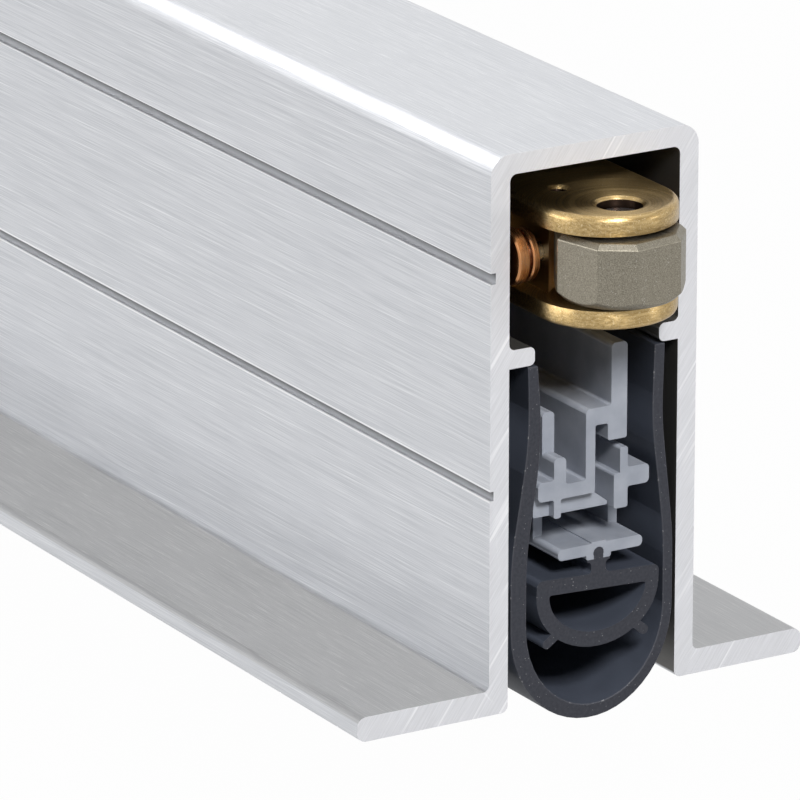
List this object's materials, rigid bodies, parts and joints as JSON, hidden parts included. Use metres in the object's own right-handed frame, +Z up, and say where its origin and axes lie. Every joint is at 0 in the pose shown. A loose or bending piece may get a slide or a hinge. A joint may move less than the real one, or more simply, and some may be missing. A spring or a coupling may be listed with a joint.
{
  "type": "automatic door bottom seal",
  "caption": "Spring-returned drop seal for the bottom edge of a door: a flanged aluminium channel with a push actuator at its end and rubber seals that drop from it.",
  "frame": {"origin": "Centre of the pattern of the four fixing screws, on the upper faces of the flanges, which bear on the door's bottom edge.", "axes": "+X runs along the seal towards the end with the actuator, +Y across it, +Z up into the door."},
  "size_m": [0.3407, 0.0273, 0.0315],
  "materials": {
    "anodised_aluminium": "satin anodised, lengthwise brushing",
    "brass": "turned and satin",
    "nickel": "grainy nickel plate",
    "copper": "bright turned copper",
    "steel": "bright drawn steel",
    "spring_steel": "blued spring strip",
    "acetal": "moulded natural acetal",
    "grey_plastic": "extruded light grey plastic, half gloss",
    "dark_rubber": "cut anthracite rubber"
  },
  "bodies": {
    "case": {"housing": "anodised_aluminium", "front_guide": "acetal", "front_anchor": "acetal", "rear_anchor": "acetal", "anchor_screws": "steel", "anchor_rivets": "steel", "front_bow_spring": "spring_steel", "rear_bow_spring": "spring_steel"},
    "actuator": {"actuator_head": "brass", "roller_pin": "steel", "lock_pin": "steel", "guide_button_left": "copper", "guide_button_right": "copper", "guide_washer_left": "copper", "guide_washer_right": "copper", "guide_rivet_left": "steel", "guide_rivet_right": "steel", "push_rod": "steel", "lock_nut": "brass", "front_slider": "acetal", "rear_slider": "acetal", "slider_rivets": "steel"},
    "roller": {"contact_roller": "nickel"},
    "dropper": {"carrier_rail": "grey_plastic", "clip_rail": "grey_plastic", "seal_holder": "grey_plastic", "inner_seal": "dark_rubber", "outer_seal": "dark_rubber", "front_saddle": "acetal", "rear_saddle": "acetal", "saddle_rivets": "steel"}
  },
  "joints": [
    {"name": "actuator_push", "type": "slide", "parent": "case", "child": "actuator", "axis": [-1, 0, 0], "range_m": [0, 0.005], "stiffness_N_per_m": 2000, "springref_m": -0.002},
    {"name": "roller_spin", "type": "hinge", "parent": "actuator", "child": "roller", "pos_m": [0.16985, 0, 0.02305], "axis": [0, 0, 1], "continuous": true},
    {"name": "seal_drop", "type": "slide", "parent": "case", "child": "dropper", "axis": [0, 0, -1], "range_m": [0, 0.01], "deforming": ["front_bow_spring", "rear_bow_spring"]}
  ],
  "couplings": [
    {"joint": "seal_drop", "follows": "actuator_push", "ratio": 2}
  ]
}
